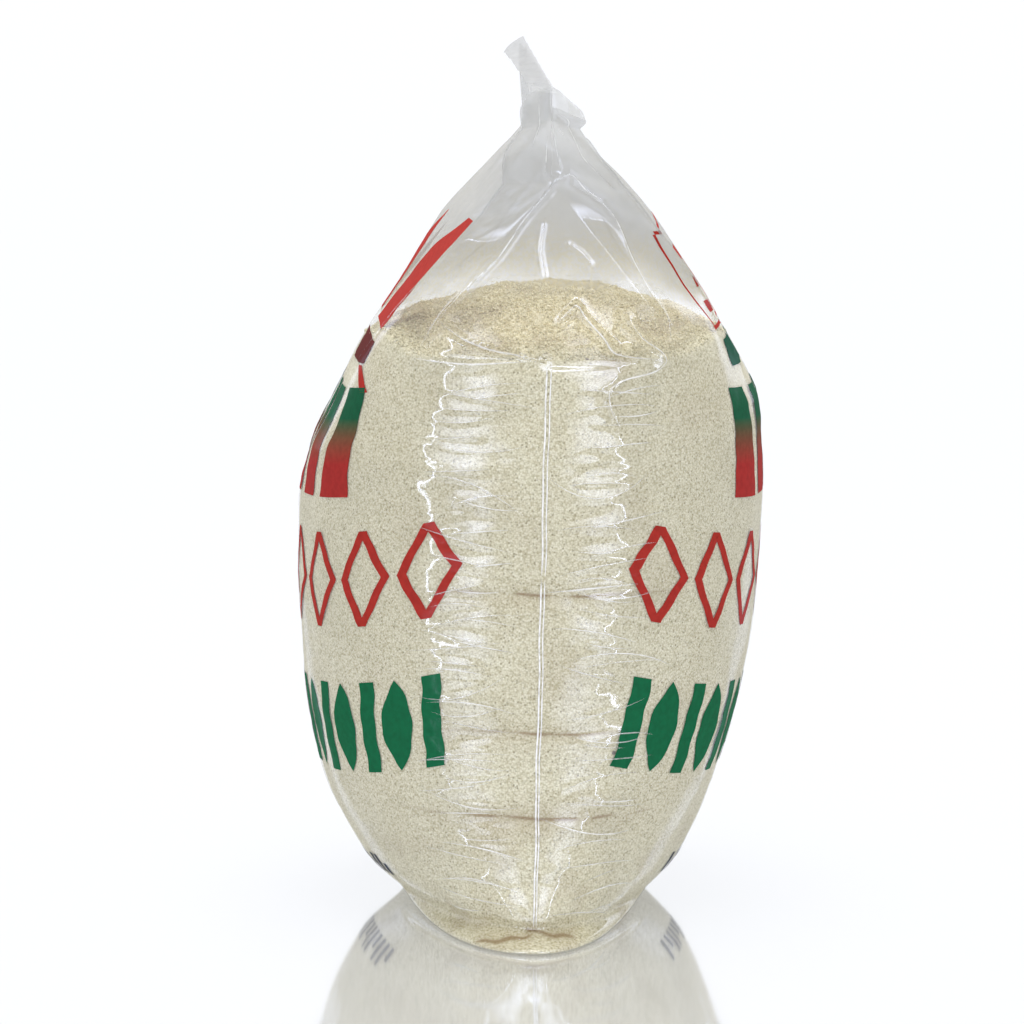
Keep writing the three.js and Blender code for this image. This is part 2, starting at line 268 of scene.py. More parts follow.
class Skin:
    """The bag's surface as a grid: rows are level heights, columns run round it from the middle of the -X
    face past the near end. For each point it knows how far it is from its face's middle line and from its
    end's middle fold, measured along the film."""

    def __init__(self, levels, near_columns, far_columns):
        self.levels = levels
        parts = []
        for side, end, columns in (
            ("left", "near", near_columns),
            ("right", "near", near_columns),
            ("right", "far", far_columns),
            ("left", "far", far_columns),
        ):
            x, y, length, ridge = quarter(side, end, levels, *columns)
            total = length[:, -1:]
            part = {
                "x": x,
                "y": y * SIGN[end],
                "from_face": length * SIGN[end],
                "from_fold": (total - length) * SIGN[side],
                "from_ridge": length - ridge[:, None],
                "side": np.full_like(x, SIGN[side]),
                "end": np.full_like(x, SIGN[end]),
            }
            backwards = (side, end) in (("right", "near"), ("left", "far"))
            part = {k: v[:, ::-1] if backwards else v for k, v in part.items()}
            parts.append({k: v[:, 1:] if parts else v for k, v in part.items()})
        joined = {k: np.concatenate([p[k] for p in parts], 1)[:, :-1] for k in parts[0]}
        self.__dict__.update(joined)
        self.columns = self.x.shape[1]
        self.near_fold = sum(near_columns)
        self.right_face = 2 * self.near_fold
        self.far_fold = self.right_face + sum(far_columns)
        self.z = levels[:, None] * np.ones_like(self.x)
        self.points = self._placed()
        self.normals = grid_normals(self.points)

    def _placed(self):
        """The points with the settled creases pressed in, the seal turned and the far film slumped."""
        on_end = smoothstep(0.8, 0.95, np.abs(self.y) / end_depth_at(self.z)) * (self.z < FLAP_TOP_Z)
        pressed = np.zeros_like(self.x)
        for height, depth, half_height, half_width in SETTLED:
            across = np.clip(1 - np.abs(self.from_fold) / half_width, 0, 1)
            pressed += depth * np.exp(-(((self.z - height) / half_height) ** 2)) * np.sqrt(across)
        y = self.y - self.end * pressed * on_end
        cut_corner = (self.side > 0) & (self.end < 0)
        cut = np.interp(self.from_ridge, *EAR_CUT) * cut_corner
        cut = cut * np.clip((self.z - SEAL_Z) / (EAR_Z - SEAL_Z), 0, 1)
        share = np.where(y > 0, mix(FAR_TURN_SHARE, 1, smoothstep(312, 332, self.z)), 1)
        x = self.x - SEAL_TURN * share * smoothstep(205, 315, self.z) * y / SEAL_HALF
        slumped = smoothstep(190, 285, self.z) * (1 - smoothstep(SEAL_Z - 3, EAR_Z - 3, self.z))
        slump = FAR_SLUMP * np.maximum(y, 0) * slumped
        return np.stack([x, y, self.z - slump - cut], -1)


def grid_normals(points):
    """Outward unit normals of a grid whose columns close into a ring."""
    along = np.roll(points, -1, 1) - np.roll(points, 1, 1)
    up = np.gradient(points, axis=0)
    normal = np.cross(along, up)
    return normal / np.maximum(np.linalg.norm(normal, axis=-1, keepdims=True), 1e-9)


WAVE_COUNT = 14


def waves(points, wavelengths, seed):
    """Smooth noise, mostly from -1 to 1, as a sum of plane waves with random directions."""
    rng = np.random.default_rng(seed)
    total = np.zeros(points.shape[:-1])
    for _ in range(WAVE_COUNT):
        direction = rng.normal(size=3)
        direction /= np.linalg.norm(direction)
        wave = 2 * math.pi / rng.uniform(*wavelengths)
        total += np.sin(points @ direction * wave + rng.uniform(0, 2 * math.pi))
    return total / math.sqrt(WAVE_COUNT * 2)


# --- Wrinkles and folds of the film ---

# Folds on the near end as (distance from the middle fold, height) points, width and height of the fold.
NEAR_FOLDS = [
    # where the flap's foot meets the fill
    ([(-55, 230.5), (-30, 229), (-4, 231)], 2.2, 2.2),
    ([(-42, 245), (-33, 239), (-22, 235.5), (-12, 234), (-6, 231)], 1.2, 1.3),
    ([(4, 247), (9.7, 252.5), (13, 248), (20.5, 240), (25, 234.5), (36, 231.5), (46, 230)], 1.8, 1.9),
    ([(31, 246), (36, 240), (46.5, 232.5), (48, 229.5), (43.5, 226), (28.5, 223), (23.5, 218.5), (24, 214),
      (28.5, 205)], 1.8, 1.9),
    # across the middle of the body
    ([(0, 141), (18, 142.5), (38, 143.5)], 1.1, 0.9),
    # on the flap
    ([(-3, 283), (-4.5, 274), (-2.5, 264)], 0.9, 0.5),
    ([(6, 276), (11, 273), (15, 268.5)], 0.9, 0.45),
    ([(2, 300), (8, 303), (14, 297), (20, 293)], 1.2, 0.7),
    # in the neck
    ([(-4.6, 335), (-1, 327), (2.5, 317), (4, 306)], 0.9, 0.3),
    ([(-4, 318), (-3.5, 303)], 0.9, 0.2),
    ([(-16, 335), (-15, 325), (-14, 314)], 0.9, 0.2),
    ([(4, 334), (20, 323), (17, 311), (24, 298)], 0.9, 0.3),
]
# The flap's two edges, from its apex down, on both ends.
FLAP_FOLDS = [
    ([(1, 299), (-2, 295), (-10, 286), (-21, 270.5), (-28, 263.5), (-40, 252), (-52, 236)], 1.3, 1.3),
    ([(9, 299), (15, 295), (21, 290.5), (28, 281), (34, 269.5), (43, 253), (50, 238)], 1.3, 1.1),
]

# Columns of crinkles beside each gusset end's middle: spacing, half height and rise, each from-to.
CRINKLES = [((8.0, 14.0), (2.4, 4.6), (0.5, 1.4)), ((3.5, 9.0), (0.8, 1.6), (0.25, 0.65))]
CRINKLE_SEED = {"near": 11, "far": 23}
CRINKLES_FROM, CRINKLES_TO = 12.0, 222.0  # height
PUCKERS, PUCKERS_WITHIN = 16, 110.0  # under the top seal of each face, within this far from its middle


def fold_height(across, height, points, width, rise):
    """A sharp-crested fold of the film along a line through the points."""
    nearest = np.full(across.shape, 1e9)
    for (x0, z0), (x1, z1) in zip(points, points[1:]):
        run = np.array([x1 - x0, z1 - z0])
        share = np.clip(((across - x0) * run[0] + (height - z0) * run[1]) / (run @ run), 0, 1)
        nearest = np.minimum(nearest, np.hypot(across - x0 - share * run[0], height - z0 - share * run[1]))
    return rise * np.exp(-((nearest / width) ** 1.3))


def add_folds(lift, skin, end, folds):
    """Adds folds to one end's part of lift."""
    mine = skin.end[0] == SIGN[end]
    for points, width, rise in folds:
        low = min(z for _, z in points) - 6 * width
        high = max(z for _, z in points) + 6 * width
        rows = (skin.levels > low) & (skin.levels < high)
        window = np.ix_(rows, mine)
        lift[window] += fold_height(skin.from_fold[window], skin.z[window], points, width, rise)


def crinkles_of(end, side):
    """The short level crinkles beside one edge of a gusset end, as (height, middle, reach, half height,
    rise, slope, bend)."""
    found = []
    for more, (spacing, halves, rises) in enumerate(CRINKLES):
        rng = np.random.default_rng(CRINKLE_SEED[end] + 5 * more + int(SIGN[side]))
        z = CRINKLES_FROM
        while z < CRINKLES_TO:
            middle = SIGN[side] * rng.uniform(20, 36)
            reach = rng.uniform(11, 27)
            half = rng.uniform(*halves)
            rise = rng.uniform(*rises) * (1 if rng.random() < 0.8 else -0.5)
            found.append((z, middle, reach, half, rise, rng.normal(0, 0.12), rng.normal(0, 0.008)))
            z += rng.uniform(*spacing)
    return found


def add_crinkles(lift, skin, end, side):
    """Adds a column of crinkles, each thinning out at its tips."""
    for z, middle, reach, half, rise, slope, bend in crinkles_of(end, side):
        rows = np.abs(skin.levels - z) < 4 * half + 8
        window = np.ix_(rows, skin.end[0] == SIGN[end])
        across = skin.from_fold[window] - middle
        outwards = np.clip(SIGN[side] * across / reach, -1, 1)
        crest = z + slope * across + bend * across**2
        up = (skin.z[window] - crest) / (half * (1 - 0.5 * outwards))
        thinned = np.clip(1 - (across / reach) ** 2, 0, None) ** 1.4
        lift[window] += rise * np.exp(-np.abs(up) ** 1.35) * thinned


def add_seal_puckers(lift, skin, seed):
    """Adds upright puckers to both faces, running down from the top seal."""
    rng = np.random.default_rng(seed)
    for side in ("left", "right"):
        for _ in range(PUCKERS):
            at = rng.uniform(-PUCKERS_WITHIN, PUCKERS_WITHIN)
            bottom = SEAL_Z - rng.uniform(14, 75)
            lean = rng.normal(0, 0.18)
            rows = (skin.levels > bottom) & (skin.levels < SEAL_Z)
            window = np.ix_(rows, skin.side[0] == SIGN[side])
            down = (SEAL_Z - skin.z[window]) / (SEAL_Z - bottom)
            off = np.abs(skin.from_face[window] - at - lean * (SEAL_Z - skin.z[window]))
            sharpness = np.exp(-off / (1.5 + 3 * down)) * (1 - down) ** 1.2 * down**0.3
            lift[window] += rng.uniform(0.2, 0.65) * sharpness


def film_lift(skin):
    """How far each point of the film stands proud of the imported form."""
    low_down = smoothstep(4, 20, skin.z)
    calmer = 1 - 0.6 * smoothstep(240, 290, skin.z)
    lift = 0.45 * waves(skin.points, (26, 60), 3) * low_down * calmer
    lift += 0.05 * waves(skin.points, (7, 14), 4) * low_down
    lift += 0.07 * waves(skin.points * [0.3, 0.3, 1], (5, 12), 5) * low_down * calmer
    for end in ("near", "far"):
        add_crinkles(lift, skin, end, "left")
        add_crinkles(lift, skin, end, "right")
        add_folds(lift, skin, end, FLAP_FOLDS)
    add_folds(lift, skin, "near", NEAR_FOLDS)
    mirrored = [([(-x, z) for x, z in points], width, rise) for points, width, rise in NEAR_FOLDS[:4]]
    add_folds(lift, skin, "far", mirrored)
    add_seal_puckers(lift, skin, 31)
    ridged = smoothstep(SHOULDER_Z["left"] + 30, 240, skin.z) * (skin.z < SEAL_Z - 4)
    lift += np.where(skin.end < 0, 0.5, 0.2) * ridged * np.exp(-np.abs(skin.from_ridge) / 1.3)
    return lift * (skin.z < EAR_Z - 1)


# --- Meshes ---


def make_object(name, points, faces, material, values, normals=None, smooth=True):
    """A mesh object from millimetre points that rides on the bag's body. The values are numbers for each
    point, by name, that its material reads."""
    mesh = bpy.data.meshes.new(name)
    points = np.asarray(points, float).reshape(-1, 3)
    faces = np.asarray(faces, np.int32)
    count, corners = faces.shape
    mesh.vertices.add(len(points))
    mesh.vertices.foreach_set("co", (points * MM).ravel())
    mesh.loops.add(count * corners)
    mesh.loops.foreach_set("vertex_index", faces.ravel())
    mesh.polygons.add(count)
    mesh.polygons.foreach_set("loop_start", np.arange(count, dtype=np.int32) * corners)
    mesh.polygons.foreach_set("use_smooth", np.full(count, smooth))
    mesh.update(calc_edges=True)
    if normals is not None:
        mesh.normals_split_custom_set_from_vertices(np.asarray(normals).reshape(-1, 3).tolist())
    for key, numbers in values.items():
        attribute = mesh.attributes.new(key, "FLOAT", "POINT")
        attribute.data.foreach_set("value", np.asarray(numbers, float).ravel())
    mesh.materials.append(material)
    obj = bpy.data.objects.new(name, mesh)
    bpy.context.scene.collection.objects.link(obj)
    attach(obj, "root")
    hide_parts(NODE)


def grid_faces(rows, columns, closed):
    """Quads of a grid, facing outwards, with its last column joined to its first if closed."""
    ring = np.arange(columns if closed else columns - 1)
    after = (ring + 1) % columns
    base = np.arange(rows - 1)[:, None] * columns
    quads = np.stack([base + ring, base + after, base + columns + after, base + columns + ring], -1)
    return quads.reshape(-1, 4)


def closed_bottom(ring, height):
    """Rings at a height that close a bag's underside, from its middle out to the given bottom ring."""
    shares = np.array([0.03, 0.3, 0.6, 0.85, 0.96])
    rings = mix(ring.mean(0), ring, shares[:, None, None])
    rings[..., 2] = height
    return rings


def film_levels():
    spans = [(0, 12, 0.8), (12, 214, 1.2), (214, 246, 0.9), (246, SEAL_Z, 1.2), (SEAL_Z, EAR_Z, 1.6)]
    parts = [np.linspace(a, b, int(round((b - a) / step)), endpoint=False) for a, b, step in spans]
    return np.concatenate(parts + [[EAR_Z]])


def film_state(skin, lift):
    """How freely the film hangs (0 on the garri, 1 clear of it), how milky it is and how much garri dust
    clings to it, at each point."""
    off_fold = np.abs(skin.from_fold)
    to_ridge = np.clip(off_fold / 75, 0, 1) ** 2
    haze_z = mix(*HAZE_FROM, to_ridge) + 3 * waves(skin.points, (10, 30), 82)
    haze_z += NEAR_HAZE_UP * (1 - to_ridge) * (skin.end < 0)
    over = skin.z - haze_z
    sealed = smoothstep(300, 318, skin.z)
    free = smoothstep(-4, 10, over) * (1 - 0.8 * sealed)
    hazy = FREE_VEIL * smoothstep(-13, 4, over) * (1 - 0.25 * sealed)
    aside = smoothstep(20, 40, off_fold + 5 * waves(skin.points, (18, 50), 81))
    veil = 0.03 + 0.09 * aside + 0.06 * smoothstep(60, 100, off_fold)
    veil = np.maximum(veil + 0.05 * smoothstep(0.4, 1.2, lift), hazy)
    veil = np.maximum(veil, EAR_VEIL * smoothstep(EAR_Z - EAR_VEIL_DEPTH, EAR_Z, skin.z))
    dust = smoothstep(-14, -6, over) * smoothstep(25, 3, over)
    return {"free": free, "veil": veil, "dust": dust}


def build_film(film, lift, material):
    """The film in two halves, near and far, that share their edges and shading."""
    skin, points, normals = film
    bottom = closed_bottom(points[0], 0.05)
    down = np.zeros_like(bottom)
    down[..., 2] = -1
    all_points = np.concatenate([bottom, points])
    all_normals = np.concatenate([down, normals])
    below = np.zeros(bottom.shape[:2])
    state = {key: np.concatenate([below, values]) for key, values in film_state(skin, lift).items()}
    near = np.arange(0, skin.right_face + 1)
    far = np.concatenate([np.arange(skin.right_face, skin.columns), [0]])
    for name, columns in (("film_near", near), ("film_far", far)):
        faces = grid_faces(len(all_points), len(columns), closed=False)
        values = {key: numbers[:, columns] for key, numbers in state.items()}
        make_object(name, all_points[:, columns], faces, material, values, all_normals[:, columns])


def garri_wall_top(skin):
    """How high the garri touches the film, for each column."""
    row = skin.levels.searchsorted(GARRI_WALL_Z["half"])
    y = skin.y[row]
    back = mix(GARRI_WALL_Z["half"], GARRI_WALL_Z["far"], smoothstep(0, 90, y))
    side = mix(GARRI_WALL_Z["ridge"], back, smoothstep(-75, 0, y))
    to_end = smoothstep(0, 55, skin.from_ridge[row]) * (y < 0)
    return mix(side, GARRI_WALL_Z["near"], to_end)


def garri_levels():
    return np.concatenate([np.linspace(0, 240, 220), np.linspace(242, EAR_Z, 20)])


def wall_heights(top):
    """The heights of the rows up the garri's wall."""
    heights, start = [], GARRI_FOOT_Z
    for end, count in WALL_ROWS + [(top, WALL_TOP_ROWS)]:
        heights.append(np.linspace(start, end, count, endpoint=False))
        start = end
    return np.append(np.concatenate(heights), top)


def garri_grid(skin):
    """The garri's surface as rings: underside, wall and mound. Also the row that the mound starts at."""
    pressed = np.minimum(film_lift(skin), 0.15) - GARRI_INSET
    inner = skin.points + skin.normals * pressed[..., None]
    top = garri_wall_top(skin)
    wall = np.zeros((len(wall_heights(top[0])), skin.columns, 3))
    for column in range(skin.columns):
        heights = wall_heights(top[column])
        for axis in range(3):
            wall[:, column, axis] = np.interp(heights, skin.levels, inner[:, column, axis])
    wall += 0.12 * waves(wall, (3, 7), 51)[..., None] * skin.normals[0][None] * [1, 1, 0]
    crest = np.array(MOUND_TOP)
    mound = []
    for radius in np.linspace(1, 0.012, MOUND_ROWS + 1)[1:]:
        ring = mix(crest, wall[-1], radius)
        ring[:, 2] = crest[2] - (crest[2] - wall[-1][:, 2]) * radius**MOUND_POWER
        mound.append(ring)
    mound = np.array(mound)
    rough = 1.3 * waves(mound, (16, 40), 52) + 0.5 * waves(mound, (4, 9), 53)
    inside = smoothstep(0, 6, np.arange(len(mound)))[:, None]
    mound[..., 2] += rough * inside
    bottom = closed_bottom(wall[0], GARRI_FOOT_Z)
    return np.concatenate([bottom, wall, mound]), len(bottom) + len(wall) - 1


def settled_fines_and_shade(x, z, points):
    """A brown line along each settled crease, partly fines and partly painted shade of the fold, broken in
    places, in a fainter brown band of painted shade.
    """
    wobble = 0.35 * np.sin(x / 9.0) + 0.15 * np.sin(x / 3.1 + 1) + 0.02 * x
    stain_and_shade = np.zeros_like(x)
    for height, depth, _, half_width in SETTLED[1:4]:
        across = np.clip(1.15 - np.abs(x - 3) / (half_width * 1.25), 0, 1)
        broken = smoothstep(-1.0, 0.4, waves(points, (8, 22), int(height)))
        # Fines and painted shade: the dark line where the film folds over the crease.
        line = np.exp(-(((z - height + wobble) / SETTLED_LINE) ** 2)) * broken
        # Painted shade: a soft brown band beside the line.
        band = np.exp(-np.abs(z - height + 1.5) / 4)
        stain_and_shade += ((0.9 + 0.2 * depth) * line + 0.25 * band) * across
    return stain_and_shade


def base_tuck_shade(x, z):
    """Painted shade: a thin dark line along each tuck of the near base corner, with a soft fall-off beside
    it.
    """
    stain_and_shade = np.zeros_like(x)
    for start, end in BASE_CREASES:
        along = (x - start[0]) / (end[0] - start[0])
        off = np.abs(z - mix(start[1], end[1], along) - 0.25 * np.sin(x / 1.7))
        thin = BASE_LINE * np.sqrt(np.clip(4 * along * (1 - along), 0.02, 1))
        inside = smoothstep(-0.06, 0.06, along) * smoothstep(1.06, 0.94, along)
        # Painted shade: a sharp dark line in each tuck and a softer darkening beside it.
        stain_and_shade += inside * (1.7 * np.exp(-((off / thin) ** 2)) + 0.35 * np.exp(-off / 2))
    return stain_and_shade


def garri_stains_and_shade(points):
    """Browner places: along the settled creases as fines and painted shade, along the base's tucks as
    painted shade, and in patches low on the bag and high on the fill.
    """
    x, y, z = np.moveaxis(points, -1, 0)
    # Fines and painted shade along the settled creases, on the gusset ends.
    stain_and_shade = settled_fines_and_shade(x, z, points) * smoothstep(70, 95, np.abs(y))
    # Painted shade along the base's tucks, at the near end.
    stain_and_shade += base_tuck_shade(x, z) * (y < -80)
    stain_and_shade += 0.5 * smoothstep(0.0, 0.9, waves(points, (12, 34), 61)) * smoothstep(215, 242, z)
    stain_and_shade += 0.25 * smoothstep(0.2, 1.0, waves(points, (9, 30), 63)) * smoothstep(60, 10, z)
    stain_and_shade += 0.15 * smoothstep(0.2, 1.3, waves(points, (20, 60), 62))
    return np.clip(stain_and_shade, 0, 1)


def build_garri(material):
    """The garri as one mesh. Returns its mound's rings."""
    skin = Skin(garri_levels(), *GARRI_COLUMNS)
    points, mound_start = garri_grid(skin)
    faces = grid_faces(len(points), skin.columns, closed=True)
    # How far into the mound each ring lies; the material uses it to paint the mound paler, as painted light
    # from above.
    depth = np.clip((np.arange(len(points)) - mound_start) / MOUND_ROWS, 0, 1)
    values = {"stain_and_shade": garri_stains_and_shade(points), "depth": depth[:, None] * np.ones(skin.columns)}
    make_object("garri", points, faces, material, values)
    return points[mound_start:]


def random_turns(rng, count):
    """Random rotation matrices."""
    q = rng.normal(size=(count, 4))
    a, b, c, d = (q / np.linalg.norm(q, axis=1, keepdims=True)).T
    rows = [
        [1 - 2 * (c * c + d * d), 2 * (b * c - a * d), 2 * (b * d + a * c)],
        [2 * (b * c + a * d), 1 - 2 * (b * b + d * d), 2 * (c * d - a * b)],
        [2 * (b * d - a * c), 2 * (c * d + a * b), 1 - 2 * (b * b + c * c)],
    ]
    return np.moveaxis(np.array(rows), -1, 0)


def mound_places(rng, mound):
    """Random places spread evenly over the mound, and how far in from its edge each is."""
    along = np.roll(mound[:-1], -1, 1) - mound[:-1]
    sizes = np.linalg.norm(np.cross(mound[1:] - mound[:-1], along), axis=-1)
    picks = rng.choice(sizes.size, GRAIN_COUNT, p=(sizes / sizes.sum()).ravel())
    row, column = np.unravel_index(picks, sizes.shape)
    u, v = rng.random((2, GRAIN_COUNT, 1))
    after = (column + 1) % mound.shape[1]
    low = mix(mound[row, column], mound[row, after], u)
    high = mix(mound[row + 1, column], mound[row + 1, after], u)
    places = mix(low, high, v)
    places[:, 2] += rng.uniform(-0.1, 0.7, GRAIN_COUNT)
    return places, row / len(mound)


def clinging_places(rng, film):
    """Random places on the inside of the film above the garri, most of them low."""
    skin, points, _ = film
    rows = np.nonzero((skin.levels > 238) & (skin.levels < 296))[0]
    row = rows[(rng.random(CLINGING_GRAINS) ** 1.9 * len(rows)).astype(int)]
    column = rng.integers(0, skin.columns, CLINGING_GRAINS)
    return points[row, column] - skin.normals[row, column] * 0.5


def build_grains(mound, film, material):
    """Loose grains over the mound, and a few that cling to the film above it, as one mesh."""
    rng = np.random.default_rng(71)
    lying, depth = mound_places(rng, mound)
    centres = np.concatenate([lying, clinging_places(rng, film)])
    count = len(centres)
    half = rng.uniform(*GRAIN_SIZE, (count, 1)) * rng.uniform(0.55, 1.0, (count, 3))
    half[GRAIN_COUNT:] *= CLINGING_SIZE
    corners = np.array([(1, 0, 0), (-1, 0, 0), (0, 1, 0), (0, -1, 0), (0, 0, 1), (0, 0, -1)], float)
    shapes = (corners[None] + rng.normal(0, 0.14, (count, 6, 3))) * half[:, None]
    vertices = np.einsum("nij,nkj->nki", random_turns(rng, count), shapes) + centres[:, None]
    octahedron = np.array(
        [(0, 2, 4), (2, 1, 4), (1, 3, 4), (3, 0, 4), (2, 0, 5), (1, 2, 5), (3, 1, 5), (0, 3, 5)]
    )
    faces = (octahedron[None] + 6 * np.arange(count)[:, None, None]).reshape(-1, 3)
    # The lying grains take their depth into the mound, so they too are painted paler with painted light;
    # the clinging ones are not.
    values = {"depth": np.repeat(np.concatenate([depth, np.zeros(CLINGING_GRAINS)]), 6)}
    make_object("loose_garri", vertices, faces, material, values, smooth=False)


def laid_on(film, measure, columns, along, z, out_by):
    """The point a little above the film, given as its skin, points and normals: at a distance, by a measure
    that grows through the given columns, and at a height."""
    skin, points, normals = film
    row = int(np.clip(np.searchsorted(skin.levels, z, side="right") - 1, 0, len(skin.levels) - 2))
    up = (z - skin.levels[row]) / (skin.levels[row + 1] - skin.levels[row])
    total = np.zeros(3)
    for r, weight in ((row, 1 - up), (row + 1, up)):
        where = np.interp(along, measure[r, columns], np.arange(len(columns)))
        first = min(int(where), len(columns) - 2)
        a, b = columns[first], columns[first + 1]
        place = mix(points[r, a], points[r, b], where - first)
        out = mix(normals[r, a], normals[r, b], where - first)
        total += weight * (place + out * out_by)
    return total


def crease_paths(end, folds):
    """Lines where the film of an end is creased, made pale with painted highlight, as (points, width,
    whiteness).
    """
    paths = [(points, CREASE_WIDTH, 0.8) for points, _, _ in folds]
    for side in ("left", "right"):
        for z, middle, reach, _, rise, slope, bend in crinkles_of(end, side):
            if rise > CREASED_RISE:
                a = np.linspace(-0.8, 0.8, 7) * reach
                points = np.stack([middle + a, z + slope * a + bend * a**2], -1)
                paths.append((points, CREASE_WIDTH * 0.7, min(0.9, 0.3 + 0.5 * rise)))
    return paths


def build_creases(name, end, film, folds, material):
    """Fine raised lines of creased film over one gusset end, as one mesh, made pale with painted highlight.
    """
    skin = film[0]
    columns = np.nonzero(skin.end[0] == SIGN[end])[0]
    if end == "far":
        columns = columns[::-1]
    spots, faces, highlight_whiteness = [], [], []
    for path, width, painted_highlight in crease_paths(end, folds):
        path = np.array(path, float)
        steps = np.linalg.norm(np.diff(path, axis=0), axis=1)
        lengths = np.concatenate([[0], np.cumsum(steps)])
        at = np.linspace(0, lengths[-1], max(4, int(lengths[-1] / CREASE_STEP)))
        line = np.stack([curve_through(list(zip(lengths, path[:, axis])))(at) for axis in (0, 1)], -1)
        forward = np.gradient(line, axis=0)
        sideways = np.stack([-forward[:, 1], forward[:, 0]], -1) / np.linalg.norm(forward, axis=1)[:, None]
        taper = np.sin(math.pi * np.linspace(0.02, 0.98, len(at))) ** 0.6
        start = len(spots)
        for place, aside, thin in zip(line, sideways, taper):
            for share in (-1, 0, 1):
                across, height = place + aside * share * thin * width / 2
                out_by = 0.08 + 0.12 * thin * (share == 0)
                spots.append(laid_on(film, skin.from_fold, columns, across, height, out_by))
                highlight_whiteness.append(painted_highlight * thin * (1.0 if share == 0 else 0.4))
        faces.append(grid_faces(len(at), 3, closed=False) + start)
    make_object(name, spots, np.concatenate(faces), material, {"painted_highlight": highlight_whiteness})


def build_fold_line(name, film, column, material):
    """The double line of the fold down the middle of a gusset end: two thin beads that draw together, made
    pale with painted highlight.
    """
    skin, points, normals = film
    rows = (skin.levels > FOLD_LINE["foot"]) & (skin.levels < FOLD_LINE["top"])
    line, out = points[rows, column], normals[rows, column]
    heights = skin.levels[rows]
    sideways = np.cross(out, [0, 0, 1])
    sideways /= np.linalg.norm(sideways, axis=1, keepdims=True)
    apart = mix(FOLD_LINE["apart_foot"], FOLD_LINE["apart_top"], heights / FOLD_LINE["top"]) / 2
    ends = smoothstep(0, 6, heights - FOLD_LINE["foot"]) * smoothstep(0, 6, FOLD_LINE["top"] - heights)
    gap = 1 - np.exp(-(((heights - FOLD_LINE["break"]) / 3.0) ** 2))
    wander = 0.2 * np.sin(heights / 9.0) + 0.1 * np.sin(heights / 3.7)
    all_points, all_faces = [], []
    for place, side in enumerate((-1, 1)):
        half = FOLD_LINE["bead"] / 2 * ends * gap * (1.0 if side > 0 else 0.75)
        middle = side * apart + wander
        strands = []
        for share in (-1.0, -0.5, 0.0, 0.5, 1.0):
            raised = out * (0.12 + 0.3 * (1 - share**2)) * gap[:, None]
            strands.append(line + sideways * (middle + share * half)[:, None] + raised)
        bead = np.stack(strands, 1)
        all_faces.append(grid_faces(*bead.shape[:2], closed=False) + place * bead[..., 0].size)
        all_points.append(bead.reshape(-1, 3))
    points = np.concatenate(all_points)
    make_object(name, points, np.concatenate(all_faces), material, {"painted_highlight": np.ones(len(points))})


def build_seal_strip(material):
    """The folded-over edge along the top seal, which goes over into the film's corners at the near end."""
    lengths = np.linspace(0, STRIP_PATH[-1][0], STRIP_ROWS)[:, None]
    across = np.linspace(0, 1, STRIP_COLUMNS)[None, :]
    y, z, left, right, veil = (
        curve_through([(row[0], row[column]) for row in STRIP_PATH])(lengths) for column in range(1, 6)
    )
    droop = STRIP_DROOP * (1 - lengths / STRIP_PATH[-1][0]) ** 2
    ripple = 0.3 * np.sin(lengths / 13 + 1) * across + 0.15 * np.sin(lengths / 5 + 3 * across)
    rounded = STRIP_ROUNDING * across**5 * np.clip(1 - lengths / 40, 0, 1)
    drop = across * np.sin(droop) * STRIP_WIDTH
    points = np.stack([mix(right, left, across), y - rounded, z - drop + ripple], -1)
    faces = grid_faces(*points.shape[:2], closed=False)
    milky = veil * np.ones_like(across)
    make_object("seal_strip", points, faces, material, {"veil": milky, "free": 0.5 * milky})


# --- Print ---

PRINT_LIFT = 0.07  # of the ink above the film
PRINT_STEP = 1.1
ROW_SAG = 15.0  # a level row of print stands this much higher near the faces' edges than at their middles
SAG_AT = 122.0  # from the face's middle
SAG_ENDS = (212.0, 236.0)  # rows sag up to here, and not at all from there up


class Printer:
    """Lays print on a face. A place is its distance from the face's middle line, left to right as seen from
    outside, and its height."""

    def __init__(self, film):
        self.film = film
        skin = film[0]
        self.order = {
            "left": np.r_[skin.near_fold : -1 : -1, skin.columns - 1 : skin.far_fold - 1 : -1],
            "right": np.r_[skin.near_fold : skin.far_fold + 1],
        }

    def spot(self, side, along, z):
        """The point at a distance from the face's middle line and a height."""
        return laid_on(self.film, self.film[0].from_face, self.order[side], along, z, PRINT_LIFT)

    def patch(self, side, low, high, left_at, right_at):
        """A patch between two heights, bounded by functions of the height. Returns points, faces and each
        point's share of the height."""
        rows = max(3, math.ceil((high - low) / PRINT_STEP) + 1)
        heights = np.linspace(low, high, rows)
        width = max(right_at(z) - left_at(z) for z in heights)
        columns = max(3, math.ceil(width / PRINT_STEP) + 1)
        spots = []
        for z in heights:
            wobble = (0.3 * math.sin(z / 1.9) + 0.22 * math.sin(z / 4.3 + low)) * min(1.0, width / 5)
            for place in np.linspace(left_at(z), right_at(z), columns) + wobble:
                along = place * SIGN[side]
                sag = ROW_SAG * (along / SAG_AT) ** 2 * (1 - smoothstep(*SAG_ENDS, z))
                spots.append(self.spot(side, along, z + sag))
        faces = grid_faces(rows, columns, closed=False)
        if side == "left":
            faces = faces[:, ::-1]
        return np.array(spots), faces, np.repeat((heights - low) / (high - low), columns)


def traced(*edges):
    """A shape from (height, left, right) edges, listed upwards and joined by straight lines."""
    heights, lefts, rights = zip(*edges)
    return (
        heights[0],
        heights[-1],
        lambda z: float(np.interp(z, heights, lefts)),
        lambda z: float(np.interp(z, heights, rights)),
    )


